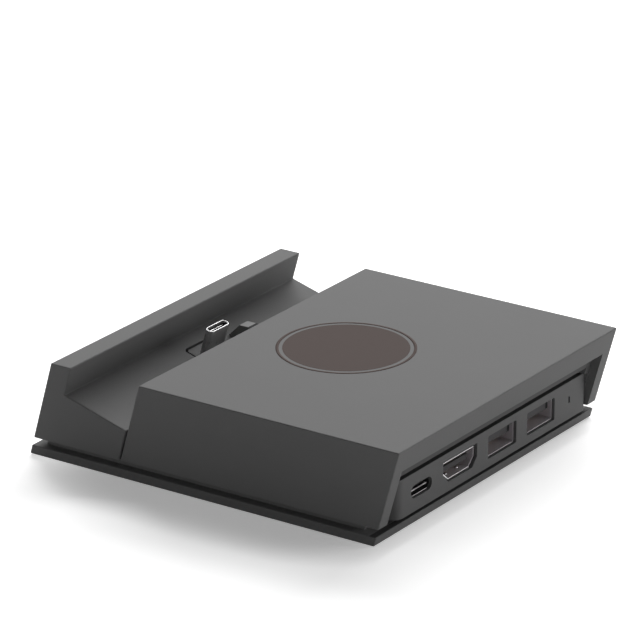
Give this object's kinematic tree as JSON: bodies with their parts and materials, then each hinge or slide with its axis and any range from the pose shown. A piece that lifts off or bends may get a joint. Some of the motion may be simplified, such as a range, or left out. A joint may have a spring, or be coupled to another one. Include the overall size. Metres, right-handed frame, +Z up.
{
  "type": "handheld console dock",
  "caption": "Low leaning desk dock with a lipped front slot, a standing plug in the slot and a recessed row of power, video and data sockets at the rear.",
  "frame": {"origin": "under the middle of the whole form, on the surface that the foot pads stand on", "axes": "+X along the slot, +Y from the front lip to the rear sockets, +Z up"},
  "size_m": [0.1, 0.1102, 0.0259],
  "materials": {
    "body_grey": "fine matt moulding texture",
    "plate_grey": "fine matt moulding texture",
    "core_grey": "fine matt moulding texture",
    "pad_black": "soft matt",
    "screw_steel": "dark plated",
    "socket_steel": "plated, satin",
    "plug_steel": "dark plated, bright rim",
    "socket_black": "smooth moulded",
    "contact_gold": "plated",
    "board_green": "solder mask",
    "chip_black": "moulded resin",
    "coil_grey": "pressed ferrite",
    "can_silver": "drawn can",
    "lead_black": "matt jacket",
    "light_clear": "clear moulded bar"
  },
  "bodies": {
    "root": {"base_plate": "plate_grey", "base_screws": "screw_steel", "can_capacitors": "can_silver", "carrier_screws": "screw_steel", "core_housing": "core_grey", "core_lid": "core_grey", "core_screws": "screw_steel", "foot_pads": "pad_black", "front_cradle": "body_grey", "hub_chip": "chip_black", "lead_socket": "socket_black", "main_board": "board_green", "plug_card": "board_green", "plug_carrier": "body_grey", "plug_contacts": "contact_gold", "plug_insert": "socket_black", "plug_lead": "lead_black", "plug_shell": "plug_steel", "power_chip": "chip_black", "power_coils": "coil_grey", "power_port_contacts": "contact_gold", "power_port_shell": "socket_steel", "power_port_tongue": "socket_black", "status_light_chip": "light_clear", "status_light_pipe": "light_clear", "timing_crystal": "can_silver", "top_cover": "body_grey", "usb_port_far_contacts": "contact_gold", "usb_port_far_shell": "socket_steel", "usb_port_far_tongue": "socket_black", "usb_port_near_contacts": "contact_gold", "usb_port_near_shell": "socket_steel", "usb_port_near_tongue": "socket_black", "video_chip": "chip_black", "video_port_contacts": "contact_gold", "video_port_shell": "socket_steel", "video_port_tongue": "socket_black"}
  },
  "joints": []
}
